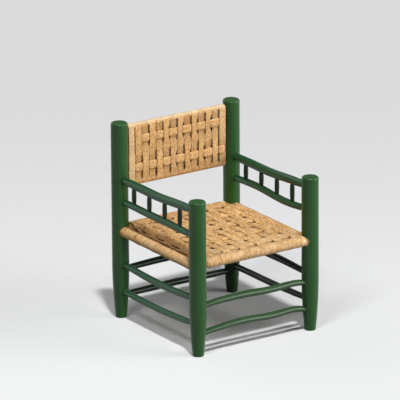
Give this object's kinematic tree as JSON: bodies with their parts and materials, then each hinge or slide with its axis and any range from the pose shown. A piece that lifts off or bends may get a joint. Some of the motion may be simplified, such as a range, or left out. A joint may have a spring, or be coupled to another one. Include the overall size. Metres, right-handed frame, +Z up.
{
  "type": "low armchair",
  "caption": "Low armchair of round posts and rungs with spindled arms and a woven rush seat and back.",
  "frame": {"origin": "on the floor, under the middle of the chair's outer box", "axes": "+X to the right as seen from the front, +Y to the back, +Z up"},
  "size_m": [0.5776, 0.5956, 0.78],
  "materials": {
    "painted_wood": "green satin-gloss paint over turned hardwood",
    "rush": "natural twisted rush or palm strand, matt, golden straw"
  },
  "bodies": {
    "root": {"back_left_post": "painted_wood", "back_lower_stretcher": "painted_wood", "back_lower_weft": "rush", "back_right_post": "painted_wood", "back_seat_rail": "painted_wood", "back_upper_stretcher": "painted_wood", "back_upper_weft": "rush", "back_warp_pair_1": "rush", "back_warp_pair_2": "rush", "back_warp_pair_3": "rush", "back_warp_pair_4": "rush", "back_warp_pair_5": "rush", "back_warp_pair_6": "rush", "back_warp_pair_7": "rush", "bottom_back_rail": "painted_wood", "front_left_post": "painted_wood", "front_lower_stretcher": "painted_wood", "front_right_post": "painted_wood", "front_seat_rail": "painted_wood", "front_upper_stretcher": "painted_wood", "left_arm_rail": "painted_wood", "left_lower_arm_rail": "painted_wood", "left_lower_stretcher": "painted_wood", "left_rail_wrap": "rush", "left_seat_rail": "painted_wood", "left_spindle_1": "painted_wood", "left_spindle_2": "painted_wood", "left_spindle_3": "painted_wood", "left_spindle_4": "painted_wood", "left_upper_stretcher": "painted_wood", "right_arm_rail": "painted_wood", "right_lower_arm_rail": "painted_wood", "right_lower_stretcher": "painted_wood", "right_rail_wrap": "rush", "right_seat_rail": "painted_wood", "right_spindle_1": "painted_wood", "right_spindle_2": "painted_wood", "right_spindle_3": "painted_wood", "right_spindle_4": "painted_wood", "right_upper_stretcher": "painted_wood", "seat_warp_1": "rush", "seat_warp_10": "rush", "seat_warp_11": "rush", "seat_warp_12": "rush", "seat_warp_13": "rush", "seat_warp_2": "rush", "seat_warp_3": "rush", "seat_warp_4": "rush", "seat_warp_5": "rush", "seat_warp_6": "rush", "seat_warp_7": "rush", "seat_warp_8": "rush", "seat_warp_9": "rush", "seat_weft_1": "rush", "seat_weft_2": "rush", "seat_weft_3": "rush", "seat_weft_4": "rush", "seat_weft_5": "rush", "top_back_rail": "painted_wood"}
  },
  "joints": []
}
